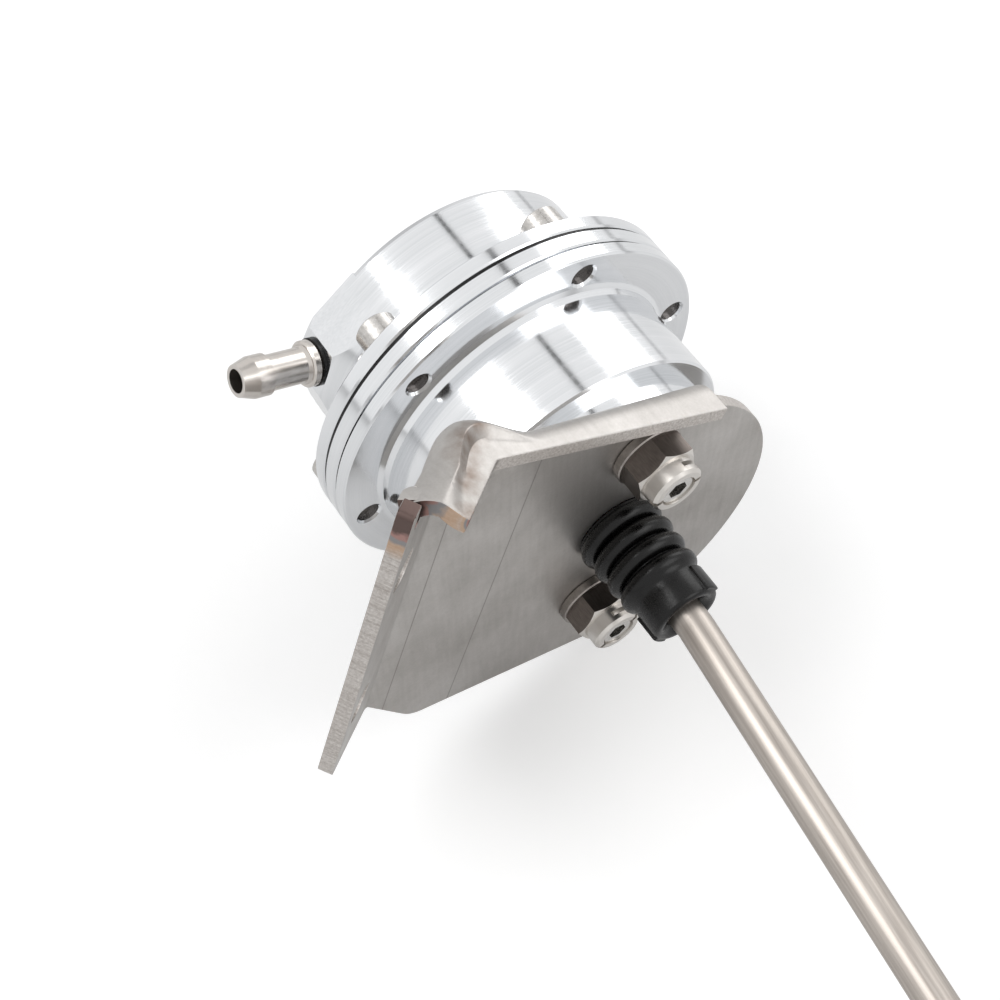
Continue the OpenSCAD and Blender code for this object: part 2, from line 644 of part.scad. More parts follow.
// Bellows with a lip in the bush's groove and a neck round the rod
module boot() color("black") rotate([90, 0, 90]) rotate_extrude() difference() {
    union() {
        for (i = [0:folds - 1]) translate([fold_r - fold_taper * i - fold_b, boot_x + fold_b + fold_pitch * i]) circle(r = fold_b, $fn = 32);
        translate([0, boot_x]) square([fold_r - fold_b - 0.3, neck_x - boot_x]);
        polygon([[0, neck_x - 1], [neck_collar_r - 0.5, neck_x - 1], [neck_collar_r, neck_x - 0.3], [neck_collar_r, boot_end - 0.8],
            [neck_collar_r - 0.8, boot_end], [0, boot_end]]);
    }
    for (i = [0:folds - 1]) translate([fold_r - fold_taper * i - fold_b, boot_x + fold_b + fold_pitch * i]) circle(r = fold_b - boot_wall, $fn = 32);
    translate([-1, groove_x + groove_w - soft_gap]) square([1 + boot_bore_r, neck_x + 1.5 - groove_x - groove_w + soft_gap]);
    translate([-1, 0]) square([1 + groove_r + soft_gap, groove_x + groove_w]);
    translate([-1, 0]) square([1 + bush_r + soft_gap, groove_x + soft_gap]);
    translate([-1, 0]) square([1 + rod_r + 0.15, boot_end + 1]);
}

// The frame of the bend: the rod turns from +X towards +Y
module bend_frame() translate([bend_x, 0, 0]) rotate([bend_side, 0, 0]) children();

// The frame of the rod beyond its bend, with its X axis along the rod
module tail_frame() bend_frame() rotate([0, 0, bend_angle]) children();

module rod() color("silver") {
    turned([[x_inner, 0], [x_inner, inner_r - 0.3], [x_inner + 0.3, inner_r], [x_shoulder, inner_r],
        [x_shoulder, rod_collar_r], [x_shoulder + rod_collar_t, rod_collar_r],
        [x_shoulder + rod_collar_t, rod_r], [bend_x - bend_tan, rod_r], [bend_x - bend_tan, 0]]);
    bend_frame() translate([-bend_tan, bend_r, 0]) rotate([0, 0, -90.5])
        rotate_extrude(angle = bend_angle + 1) translate([bend_r, 0]) circle(r = rod_r - bend_thin);
    tail_frame() turned([[bend_tan, 0], [bend_tan, rod_r], [tail_len, rod_r], [tail_len, rod_r - thread_step],
        [tail_len + thread_len - 0.5, rod_r - thread_step], [tail_len + thread_len, rod_r - 0.5],
        [tail_len + thread_len, 0]]);
}

module jam_nut() color("silver") tail_frame() difference() {
    hex_body(jam_x, clevis_x, 10, true);
    along_x(jam_x - 1, clevis_x + 1, rod_r + thread_gap);
}

module clevis() color("silver") tail_frame() difference() {
    union() {
        turned([[clevis_x, 0], [clevis_x, neck_r - 0.5], [clevis_x + 0.5, neck_r], [pin_x - slot_depth - 1, neck_r], [pin_x - slot_depth - 1, 0]]);
        intersection() {
            translate([pin_x - slot_depth - 4, -clevis_w / 2, -clevis_w / 2]) cube([slot_depth + 4 + clevis_tip, clevis_w, clevis_w]);
            turned([[pin_x - slot_depth - 4, 0], [pin_x - slot_depth - 4, neck_r], [pin_x - slot_depth - 1, clevis_w * 0.62],
                [pin_x + clevis_tip - 2.5, clevis_w * 0.62], [pin_x + clevis_tip, clevis_w * 0.62 - 2.5], [pin_x + clevis_tip, 0]]);
        }
    }
    along_x(clevis_x - 1, pin_x - 1, rod_r + thread_gap);
    translate([pin_x - slot_depth, -clevis_w, -slot_w / 2]) cube([slot_depth + clevis_tip + 1, 2 * clevis_w, slot_w]);
    translate([pin_x, 0, -clevis_w]) cylinder(h = 2 * clevis_w, r = pin_r + running_gap);
}

// The pin's head is on the -Z side of the clevis and its clip on the +Z side
module clevis_pin() color("silver") tail_frame() translate([pin_x, 0, 0]) rotate_extrude() {
    z0 = -clevis_w / 2 - 0.1;
    z1 = clevis_w / 2 + 0.2;
    polygon([[0, z0 - pin_head_t], [pin_head_r - 0.3, z0 - pin_head_t], [pin_head_r, z0 - pin_head_t + 0.3], [pin_head_r, z0],
        [pin_r, z0], [pin_r, z1], [clip_groove_r, z1], [clip_groove_r, z1 + clip_t], [pin_r, z1 + clip_t],
        [pin_r, z1 + clip_t + pin_over - 0.5], [pin_r - 0.5, z1 + clip_t + pin_over], [0, z1 + clip_t + pin_over]]);
}

module pin_clip() color("dimgray") tail_frame() translate([pin_x, 0, clevis_w / 2 + 0.25]) difference() {
    cylinder(h = clip_t - 0.1, r = clip_r);
    translate([0, 0, -1]) cylinder(h = 3, r = clip_groove_r + 0.02);
    translate([0, -clip_groove_r * 0.85, -1]) cube([clip_r + 1, clip_groove_r * 1.7, 3]);
    for (s = [-1, 1]) rotate([0, 0, 120 * s]) translate([clip_groove_r + 0.2, 0, -1]) cylinder(h = 3, r = 1);
}

cap_housing();
hose_barb();
barb_seal();
flange_screws();
middle_ring();
diaphragm();
retainer_plate();
piston_nut();
piston();
main_spring();
spring_seat();
ring_seal();
lower_housing();
guide_bush();
bracket();
mounting_studs();
stud_washers();
lock_nuts();
boot();
rod();
jam_nut();
clevis();
clevis_pin();
pin_clip();
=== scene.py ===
"""Looks of the turbo wastegate actuator: its camera, light and materials, and the pieces CAD can't give.

Places and sizes are in millimetres, and are multiplied by MM where Blender takes them. The camera, the table,
the lamps and the dark card are placed in metres.
"""
import math

import bpy
from mathutils import Matrix, Vector


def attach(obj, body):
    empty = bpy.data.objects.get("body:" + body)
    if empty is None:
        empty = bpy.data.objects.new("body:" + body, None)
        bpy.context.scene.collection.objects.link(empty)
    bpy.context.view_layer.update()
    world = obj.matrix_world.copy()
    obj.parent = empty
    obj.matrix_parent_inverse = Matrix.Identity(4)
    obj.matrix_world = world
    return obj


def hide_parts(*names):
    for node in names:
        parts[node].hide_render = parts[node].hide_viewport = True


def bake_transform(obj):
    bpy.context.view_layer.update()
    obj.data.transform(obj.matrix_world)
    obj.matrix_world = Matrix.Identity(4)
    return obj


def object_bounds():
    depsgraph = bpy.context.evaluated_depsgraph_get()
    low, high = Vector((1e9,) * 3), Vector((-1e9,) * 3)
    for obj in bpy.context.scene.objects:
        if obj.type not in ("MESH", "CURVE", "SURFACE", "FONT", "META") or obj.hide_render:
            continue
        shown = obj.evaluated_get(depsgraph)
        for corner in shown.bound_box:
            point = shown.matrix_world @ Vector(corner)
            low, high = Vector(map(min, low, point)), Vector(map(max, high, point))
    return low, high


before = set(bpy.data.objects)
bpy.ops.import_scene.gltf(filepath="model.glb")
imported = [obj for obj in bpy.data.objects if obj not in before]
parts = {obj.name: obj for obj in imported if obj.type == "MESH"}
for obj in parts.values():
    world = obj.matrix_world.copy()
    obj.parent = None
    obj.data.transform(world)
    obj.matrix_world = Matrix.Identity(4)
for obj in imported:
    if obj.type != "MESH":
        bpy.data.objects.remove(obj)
cad_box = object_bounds()
MM = 0.001
MERGE = 0.001 * MM
FRONT = Vector((1, 0, 0))


def turned_to(angle):
    """A direction in the bracket's plane, in degrees from +Y."""
    return Vector((0, math.cos(math.radians(angle)), math.sin(math.radians(angle))))


def swung(first, second, angle):
    """The first direction turned some degrees towards the second, which is at right angles to it."""
    angle = math.radians(angle)
    return math.cos(angle) * first + math.sin(angle) * second


# The rod's line beyond its bend, the nipple's line and the two studs
TAIL_POINT = Vector((24, 0, 0))
TAIL = swung(FRONT, turned_to(188.7), 6)
NIPPLE_POINT = Vector((-45.2, 0, 0))
NIPPLE = turned_to(158)
STUDS = (20 * turned_to(78), 20 * turned_to(258))

# Where a lock nut's turned turret starts, and where a cap screw's head ends
TURRET_START = 8.25
SCREW_HEAD_END = -32.0

# The bracket's sheet, its lip and its side bend, all on the sheet's back surface
SHEET = 2.5
HOLE, ROD_HOLE = 3.3, 6.65
LIP_U = 31.5
LIP_OUT = turned_to(65.7)
LIP_RUN = turned_to(65.7 - 90)
LIP_TALL, LIP_SHORT = 7.3, 4.7
SIDE_BEND, SIDE_R = 35.9, 4.0
SIDE_POINT = Vector((0, -39.9, 14.8))
SIDE_OUT = turned_to(163.6)
SIDE_UP = turned_to(163.6 - 90)

# The side flange: its directions, its width, its lower and upper end, and its holes' places
FLANGE_OUT = swung(SIDE_OUT, FRONT, SIDE_BEND)
FLANGE_FRONT = swung(FRONT, -SIDE_OUT, SIDE_BEND)
FLANGE_WIDE = 13.5
FLANGE_LOW, FLANGE_TOP = -28, 37.3
FLANGE_HOLES = (-14, 20)
HOLES_ACROSS = 8

# Places along the lip, from its nearest point to the rod's axis. They fall towards the side flange. As far
# as LIP_PLAIN_END the lip is straight, and needs few sections.
LIP_START = 2.7
LIP_PLAIN_END = -30
EAR_START = -31
LIP_END = -40.7
LIP_LENGTH = 43.4
BEND_START = -47.233
BEND_END = -49.739
EAR_END = -58.539

# The ear's free corner on the flange (across, front, up), and how far up the flange its foot ends
EAR_CORNER = (8.8, 8.7, 36.1)
EAR_FOOT_UP = 31.5

# How far the brake's blade marks lie from the side bend, their half width, and the height where they end
BLADE_MARKS = (-3.5, -18.2)
MARK_HALF = 0.13
MARK_TOP = 27.4

# Most of a noise texture lies between these values
NOISE_LOW, NOISE_HIGH = 0.3, 0.7


# Camera

def place_camera():
    """The photograph's view, 60 degrees above the table, fitted to the circles of canister and boot."""
    data = bpy.data.cameras.new("camera")
    data.sensor_width = 36
    data.lens = 61.2
    data.clip_start = 0.01
    data.clip_end = 20
    camera = bpy.data.objects.new("camera", data)
    bpy.context.scene.collection.objects.link(camera)
    right = (0.55586, 0.83128, 0.0)
    up = (-0.71901, 0.48079, 0.50186)
    back = (0.41719, -0.27896, 0.86495)
    turn = Matrix([[right[i], up[i], back[i]] for i in range(3)]).to_4x4()
    camera.matrix_world = Matrix.Translation((0.1038, -0.09005, 0.23975)) @ turn
    bpy.context.scene.camera = camera


# Helpers for materials

def linear(code):
    """An sRGB hex colour as linear RGBA."""
    channels = [int(code[i:i + 2], 16) / 255 for i in (1, 3, 5)]
    return [c / 12.92 if c <= 0.04045 else ((c + 0.055) / 1.055) ** 2.4 for c in channels] + [1.0]


def add(tree, kind, inputs=None, **settings):
    """Adds a node with its settings, and links or sets its inputs.

    A Mix node's inputs are 2 and 3 for numbers, and 6 and 7 for colours.
    """
    node = tree.nodes.new(kind)
    for key, value in settings.items():
        setattr(node, key, value)
    for key, value in (inputs or {}).items():
        if isinstance(value, bpy.types.NodeSocket):
            tree.links.new(value, node.inputs[key])
        else:
            node.inputs[key].default_value = value
    return node


def new_material(name, **sockets):
    """A material with a Principled shader. Returns it with its tree, shader and the place in millimetres."""
    material = bpy.data.materials.new(name)
    material.use_nodes = True
    tree = material.node_tree
    shader = tree.nodes["Principled BSDF"]
    for key, value in sockets.items():
        shader.inputs[key.replace("_", " ")].default_value = value
    coordinate = add(tree, "ShaderNodeTexCoord")
    place = add(tree, "ShaderNodeVectorMath", {0: coordinate.outputs["Object"], 1: (1000, 1000, 1000)},
                operation="MULTIPLY").outputs[0]
    return material, tree, shader, place


def finish_surface(tree, shader, pattern, colours, roughness, depth):
    """Lets one pattern of 0 to 1 drive colour, roughness and a bump of a real depth in millimetres."""
    share = add(tree, "ShaderNodeMapRange", {"Value": pattern, "From Min": NOISE_LOW, "From Max": NOISE_HIGH})
    colour = add(tree, "ShaderNodeMix", {"Factor": share.outputs["Result"], 6: linear(colours[0]),
                                         7: linear(colours[1])}, data_type="RGBA")
    rough = add(tree, "ShaderNodeMapRange", {"Value": pattern, "From Min": NOISE_LOW, "From Max": NOISE_HIGH,
                                             "To Min": roughness[0], "To Max": roughness[1]})
    bump = add(tree, "ShaderNodeBump", {"Height": pattern, "Strength": 1.0, "Distance": depth * MM})
    tree.links.new(colour.outputs[2], shader.inputs["Base Color"])
    tree.links.new(rough.outputs["Result"], shader.inputs["Roughness"])
    tree.links.new(bump.outputs["Normal"], shader.inputs["Normal"])
    return colour.outputs[2]


def along_and_off(tree, place, point, direction):
    """Splits a place into its distance along an axis and the rest of it, both from a point."""
    offset = add(tree, "ShaderNodeVectorMath", {0: place, 1: point}, operation="SUBTRACT").outputs[0]
    along = add(tree, "ShaderNodeVectorMath", {0: offset, 1: direction},
                operation="DOT_PRODUCT").outputs["Value"]
    part = add(tree, "ShaderNodeVectorMath", {0: direction, "Scale": along}, operation="SCALE").outputs[0]
    off = add(tree, "ShaderNodeVectorMath", {0: offset, 1: part}, operation="SUBTRACT").outputs[0]
    return along, off


def tint_and_shade_blobs(tree, place, spots):
    """How near a place is to the spots of heat tint and painted shade, as (point, reach) in millimetres, 0 to
    1.
    """
    heat = None
    for point, reach in spots:
        far = add(tree, "ShaderNodeVectorMath", {0: place, 1: point}, operation="DISTANCE").outputs["Value"]
        near = add(tree, "ShaderNodeMapRange", {"Value": far, "From Min": reach,
                                                "From Max": 0.0}).outputs["Result"]
        if heat is None:
            heat = near
        else:
            heat = add(tree, "ShaderNodeMath", {0: heat, 1: near}, operation="MAXIMUM").outputs[0]
    return heat


def dress(part, *materials):
    """Gives a piece these materials in place of its own."""
    part.data.materials.clear()
    for material in materials:
        part.data.materials.append(material)


# Materials

def turned_metal(name, colours, roughness, point, direction, groove, depth):
    """Metal turned in a lathe: fine rings round its axis, which draw the highlights out into bands.

    The real grooves are 0.05 to 0.1 mm apart, and are drawn 0.15 to 0.2 mm apart so that they show.
    """
    material, tree, shader, place = new_material(name, Metallic=1.0)
    along, off = along_and_off(tree, place, point, direction)
    radius = add(tree, "ShaderNodeVectorMath", {0: off}, operation="LENGTH").outputs["Value"]
    rings = add(tree, "ShaderNodeCombineXYZ", {"X": along, "Y": radius}).outputs[0]
    grooves = add(tree, "ShaderNodeTexNoise", {"Vector": rings, "Scale": 1 / groove, "Detail": 3.0},
                  noise_dimensions="2D").outputs["Fac"]
    bands = add(tree, "ShaderNodeTexNoise", {"Vector": rings, "Scale": 0.35, "Detail": 1.0},
                noise_dimensions="2D").outputs["Fac"]
    both = add(tree, "ShaderNodeMix", {"Factor": 0.4, 2: grooves, 3: bands}).outputs[0]
    finish_surface(tree, shader, both, colours, roughness, depth)
    return material


def blasted_stainless(name, spots):
    """Bead blasted stainless sheet: a warm grey skin of small dents, clouded, with faint rolling lines.

    The corner that was worked hot is brown where the metal was hottest. Along the ear's crease the brown is
    also painted shade, darkening the crease where shade falls. Two hairlines from the brake's blade run
    beside the side bend. The beads' dents are about 0.1 mm wide, and are drawn 0.3 mm wide so that they show.
    """
    material, tree, shader, place = new_material(name, Metallic=1.0)
    grain = add(tree, "ShaderNodeTexNoise", {"Vector": place, "Scale": 3.0, "Detail": 4.0}).outputs["Fac"]
    cloud = add(tree, "ShaderNodeTexNoise", {"Vector": place, "Scale": 0.07, "Detail": 5.0,
                                             "Roughness": 0.6}).outputs["Fac"]
    drawn = add(tree, "ShaderNodeVectorMath", {0: place, 1: (0.3, 1.2, 0.1)}, operation="MULTIPLY").outputs[0]
    rolled = add(tree, "ShaderNodeTexNoise", {"Vector": drawn, "Scale": 1.0, "Detail": 3.0}).outputs["Fac"]
    mixed = add(tree, "ShaderNodeMix", {"Factor": 0.22, 2: cloud, 3: grain}).outputs[0]
    tone = add(tree, "ShaderNodeMix", {"Factor": 0.18, 2: mixed, 3: rolled}).outputs[0]
    base = finish_surface(tree, shader, tone, ("#a09c98", "#c2bfbc"), (0.5, 0.4), 0.002)
    # blade marks beside the side bend, on the sheet's front only and not on the ear
    across = add(tree, "ShaderNodeVectorMath", {0: place, 1: SIDE_OUT},
                 operation="DOT_PRODUCT").outputs["Value"]
    bend = SIDE_POINT.dot(SIDE_OUT)
    marks = [add(tree, "ShaderNodeMath", {0: across, 1: bend + mark, 2: MARK_HALF},
                 operation="COMPARE").outputs[0] for mark in BLADE_MARKS]
    either = add(tree, "ShaderNodeMath", {0: marks[0], 1: marks[1]}, operation="MAXIMUM").outputs[0]
    up = add(tree, "ShaderNodeVectorMath", {0: place, 1: LIP_OUT}, operation="DOT_PRODUCT").outputs["Value"]
    below = add(tree, "ShaderNodeMapRange", {"Value": up, "From Min": MARK_TOP + 0.2, "From Max": MARK_TOP,
                                             "To Max": 0.6}).outputs["Result"]
    height = add(tree, "ShaderNodeSeparateXYZ", {0: place}).outputs["X"]
    front = add(tree, "ShaderNodeMath", {0: height, 1: SHEET - 0.1}, operation="GREATER_THAN").outputs[0]
    masked = add(tree, "ShaderNodeMath", {0: below, 1: front}, operation="MULTIPLY").outputs[0]
    shown = add(tree, "ShaderNodeMath", {0: either, 1: masked}, operation="MULTIPLY").outputs[0]
    marked = add(tree, "ShaderNodeMix", {"Factor": shown, 6: base, 7: linear("#7b7672")}, data_type="RGBA")
    # brown heat tint, broken up by a mottle; along the ear's crease it is also painted shade
    heat = tint_and_shade_blobs(tree, place, spots)
    mottle = add(tree, "ShaderNodeTexNoise", {"Vector": place, "Scale": 0.5, "Detail": 4.0}).outputs["Fac"]
    uneven = add(tree, "ShaderNodeMath", {0: heat, 1: mottle}, operation="MULTIPLY").outputs[0]
    brown = add(tree, "ShaderNodeMapRange", {"Value": uneven, "From Min": 0.1, "From Max": 0.6,
                                             "To Max": 0.8})
    tinted_and_shaded = add(tree, "ShaderNodeMix", {"Factor": brown.outputs["Result"], 6: marked.outputs[2],
                                         7: linear("#6e5a4c")}, data_type="RGBA")
    tree.links.new(tinted_and_shaded.outputs[2], shader.inputs["Base Color"])
    return material


def laser_cut_edge(name, through, spots):
    """The sheet's laser cut edge: striations through the sheet, pits, and heat tints from straw to blue.

    The striations are 0.1 to 0.2 mm apart, and are drawn 0.3 mm apart so that they show. The last, dark band
    at the hottest spots is painted shade, where the flange's top cut face lies in shade.
    """
    material, tree, shader, place = new_material(name, Metallic=1.0)
    off = along_and_off(tree, place, (0, 0, 0), through)[1]
    lines = add(tree, "ShaderNodeTexNoise", {"Vector": off, "Scale": 3.0, "Detail": 2.0}).outputs["Fac"]
    slag = add(tree, "ShaderNodeTexNoise", {"Vector": place, "Scale": 0.6, "Detail": 4.0}).outputs["Fac"]
    pits = add(tree, "ShaderNodeTexNoise", {"Vector": place, "Scale": 2.2, "Detail": 5.0,
                                            "Roughness": 0.7}).outputs["Fac"]
    both = add(tree, "ShaderNodeMix", {"Factor": 0.6, 2: lines, 3: pits}).outputs[0]
    base = finish_surface(tree, shader, both, ("#9c948e", "#dad6d2"), (0.5, 0.36), 0.012)
    heat = tint_and_shade_blobs(tree, place, spots)
    stirred = add(tree, "ShaderNodeMath", {0: slag, 1: -0.5}, operation="ADD").outputs[0]
    level = add(tree, "ShaderNodeMath", {0: stirred, 1: 0.22, 2: heat}, operation="MULTIPLY_ADD").outputs[0]
    # straw, blue-grey and pink heat tints, then a dark band that is painted shade at the hottest spots
    tints = ((0.04, 0.25, "#b89a80"), (0.32, 0.38, "#80868c"),
             (0.43, 0.47, "#a98078"), (0.5, 0.58, "#47423f"))
    for low, high, code in tints:
        share = add(tree, "ShaderNodeMapRange", {"Value": level, "From Min": low, "From Max": high,
                                                 "To Max": 0.8})
        base = add(tree, "ShaderNodeMix", {"Factor": share.outputs["Result"], 6: base, 7: linear(code)},
                   data_type="RGBA").outputs[2]
    tree.links.new(base, shader.inputs["Base Color"])
    return material


def black_rubber(name):
    """Moulded nitrile rubber: deep black with a soft satin sheen and the fine grain of its mould.

    The mould's grain is about 0.1 mm, and is drawn at 0.4 mm so that it shows.
    """
    material, tree, shader, place = new_material(name, IOR=1.5, Specular_IOR_Level=0.3)
    grain = add(tree, "ShaderNodeTexNoise", {"Vector": place, "Scale": 2.5, "Detail": 3.0}).outputs["Fac"]
    finish_surface(tree, shader, grain, ("#050505", "#0d0c0c"), (0.22, 0.36), 0.004)
    return material


def drawn_rod(name, colours, point, direction):
    """Stainless rod ground along its length: its streaks run with the rod.

    The streaks are about 0.1 mm wide, and are drawn 0.4 mm wide so that they show.
    """
    material, tree, shader, place = new_material(name, Metallic=1.0)
    along, off = along_and_off(tree, place, point, direction)
    little = add(tree, "ShaderNodeMath", {0: along, 1: 0.03}, operation="MULTIPLY").outputs[0]
    slow = add(tree, "ShaderNodeVectorMath", {0: direction, "Scale": little}, operation="SCALE").outputs[0]
    drawn = add(tree, "ShaderNodeVectorMath", {0: off, 1: slow}, operation="ADD").outputs[0]
    streaks = add(tree, "ShaderNodeTexNoise", {"Vector": drawn, "Scale": 2.5, "Detail": 3.0}).outputs["Fac"]
    finish_surface(tree, shader, streaks, colours, (0.34, 0.44), 0.002)
    return material


def worked_steel(name, colours, roughness, grain=1.5, depth=0.002):
    """Plated, oiled or tumbled steel: a light mottle with no direction."""
    material, tree, shader, place = new_material(name, Metallic=1.0)
    mottle = add(tree, "ShaderNodeTexNoise", {"Vector": place, "Scale": grain, "Detail": 3.0}).outputs["Fac"]
    finish_surface(tree, shader, mottle, colours, roughness, depth)
    return material


def hexagon_nut(name):
    """A stainless lock nut: a bright turned chamfer and turret, and flanks painted dark as painted shade."""
    material, tree, shader, place = new_material(name, Metallic=1.0)
    drawn = add(tree, "ShaderNodeVectorMath", {0: place, 1: (0.25, 2.0, 2.0)},
                operation="MULTIPLY").outputs[0]
    lines = add(tree, "ShaderNodeTexNoise", {"Vector": drawn, "Scale": 3.0, "Detail": 3.0}).outputs["Fac"]
    # the flanks' dark tone is painted shade
    dark = finish_surface(tree, shader, lines, ("#6c6560", "#7e7671"), (0.28, 0.34), 0.001)
    normal = tree.nodes["Texture Coordinate"].outputs["Normal"]
    facing = add(tree, "ShaderNodeSeparateXYZ", {0: normal}).outputs["X"]
    height = add(tree, "ShaderNodeSeparateXYZ", {0: place}).outputs["X"]
    # a flank faces sideways, and the chamfer a little to the front
    chamfer = add(tree, "ShaderNodeMath", {0: facing, 1: 0.15}, operation="GREATER_THAN").outputs[0]
    turret = add(tree, "ShaderNodeMath", {0: height, 1: TURRET_START}, operation="GREATER_THAN").outputs[0]
    turned = add(tree, "ShaderNodeMath", {0: chamfer, 1: turret}, operation="MAXIMUM").outputs[0]
    colour = add(tree, "ShaderNodeMix", {"Factor": turned, 6: dark, 7: linear("#d2cec9")}, data_type="RGBA")
    tree.links.new(colour.outputs[2], shader.inputs["Base Color"])
    return material


def cap_screw(name):
    """A stainless cap screw: a bright turned head, and a thread painted dark as painted shade."""
    material, tree, shader, place = new_material(name, Metallic=1.0)
    mottle = add(tree, "ShaderNodeTexNoise", {"Vector": place, "Scale": 1.5, "Detail": 3.0}).outputs["Fac"]
    bright = finish_surface(tree, shader, mottle, ("#b9b6b2", "#cecbc8"), (0.2, 0.3), 0.002)
    height = add(tree, "ShaderNodeSeparateXYZ", {0: place}).outputs["X"]
    # the thread past the head is painted dark: painted shade where the screw ends stand in their holes
    thread = add(tree, "ShaderNodeMath", {0: height, 1: SCREW_HEAD_END}, operation="GREATER_THAN").outputs[0]
    colour = add(tree, "ShaderNodeMix", {"Factor": thread, 6: bright, 7: linear("#4b4643")}, data_type="RGBA")
    tree.links.new(colour.outputs[2], shader.inputs["Base Color"])
    return material


# Helpers for modelling

def new_piece(name, vertices, edges, faces):
    """A piece from points in millimetres, left in edit mode with nothing selected."""
    bpy.ops.object.select_all(action="DESELECT")
    mesh = bpy.data.meshes.new(name)
    mesh.from_pydata([v * MM for v in vertices], edges, faces)
    piece = bpy.data.objects.new(name, mesh)
    bpy.context.scene.collection.objects.link(piece)
    bpy.context.view_layer.objects.active = piece
    piece.select_set(True)
    bpy.ops.object.mode_set(mode="EDIT")
    bpy.ops.mesh.select_all(action="DESELECT")
    return piece


def pick_faces(piece, test):
    """Selects the faces whose middle, in millimetres, passes a test."""
    bpy.ops.object.mode_set(mode="OBJECT")
    for item in list(piece.data.vertices) + list(piece.data.edges):
        item.select = False
    for face in piece.data.polygons:
        face.select = test(face.center / MM)
    bpy.ops.object.mode_set(mode="EDIT")
    bpy.ops.mesh.select_mode(type="FACE")


def use_modifier(piece, kind, **settings):
    """Adds a modifier with its settings and applies it."""
    modifier = piece.modifiers.new(kind.lower(), kind)
    for key, value in settings.items():
        setattr(modifier, key, value)
    bpy.ops.object.modifier_apply(modifier=modifier.name)


def bevel_edges(piece, width, angle):
    """Rounds the edges that are sharper than an angle in degrees, by a width in millimetres."""
    use_modifier(piece, "BEVEL", width=width * MM, segments=2, limit_method="ANGLE",
                 angle_limit=math.radians(angle), use_clamp_overlap=False)


def smooth_shade(piece, angle):
    """Shades a piece smooth and keeps the edges hard that are sharper than an angle in degrees."""
    bpy.ops.object.select_all(action="DESELECT")
    piece.select_set(True)
    bpy.context.view_layer.objects.active = piece
    bpy.ops.object.shade_smooth_by_angle(angle=math.radians(angle))


def spun_piece(name, outline, steps):
    """A closed outline of (along the axis, radius) in millimetres, extruded point by point and spun round X.

    The piece is left in edit mode.
    """
    bpy.ops.object.select_all(action="DESELECT")
    bpy.ops.mesh.primitive_plane_add(size=MM, location=(0, 0, 0))
    piece = bpy.context.object
    piece.name = name
    bpy.ops.object.mode_set(mode="EDIT")
    bpy.ops.mesh.select_mode(type="VERT")
    bpy.ops.mesh.select_all(action="SELECT")
    bpy.ops.mesh.merge(type="CENTER")
    here = Vector((0, 0, 0))
    for count, (x, radius) in enumerate(outline):
        there = Vector((x, radius, 0)) * MM
        if count == 0:
            bpy.ops.transform.translate(value=there)
        else:
            bpy.ops.mesh.extrude_vertices_move(TRANSFORM_OT_translate={"value": there - here})
        here = there
    bpy.ops.mesh.select_all(action="SELECT")
    bpy.ops.mesh.remove_doubles(threshold=MERGE)
    bpy.ops.mesh.select_all(action="SELECT")
    bpy.ops.mesh.spin(steps=steps, angle=math.tau, center=(0, 0, 0), axis=(1, 0, 0))
    bpy.ops.mesh.select_all(action="SELECT")
    bpy.ops.mesh.remove_doubles(threshold=MERGE)
    bpy.ops.mesh.normals_make_consistent(inside=False)
    return piece


# The bracket

def clamped(share):
    """A share kept from 0 to 1."""
    return min(max(share, 0.0), 1.0)


def smooth(share):
    """A share from 0 to 1 that starts and ends gently."""
    share = clamped(share)
    return share * share * (3 - 2 * share)


def between(value, table):
    """Reads a table of (place, value) rows, given in falling order of place."""
    for (a, low), (b, high) in zip(table, table[1:]):
        if value >= b:
            return low + (high - low) * clamped((a - value) / (a - b))
    return table[-1][1]


def evenly(first, last, count):
    """Values in equal steps from first to last, without the first."""
    return [first + (last - first) * i / count for i in range(1, count + 1)]


def on_bend(turn, across, front, up):
    """A point some degrees round the side bend's back surface, moved across, to the front and up the bend."""
    out = swung(SIDE_OUT, FRONT, turn)
    face = swung(FRONT, -SIDE_OUT, turn)
    return SIDE_POINT + SIDE_R * FRONT + across * out + (front - SIDE_R) * face + up * SIDE_UP


def lip_line(s):
    """The line where plate and lip would meet: along the plate, round the side bend and out on the flange."""
    if s >= BEND_START:
        return LIP_U * LIP_OUT + s * LIP_RUN
    turn = min(math.degrees((BEND_START - s) / SIDE_R), SIDE_BEND)
    point = on_bend(turn, max(BEND_END - s, 0.0), 0.0, 0.0)
    return point + SIDE_UP * (LIP_U - point.dot(LIP_OUT)) / SIDE_UP.dot(LIP_OUT)


def lip_height(s):
    """How far the lip stands to the front of the sheet's back surface."""
    return LIP_TALL + (LIP_SHORT - LIP_TALL) * (LIP_START - s) / LIP_LENGTH


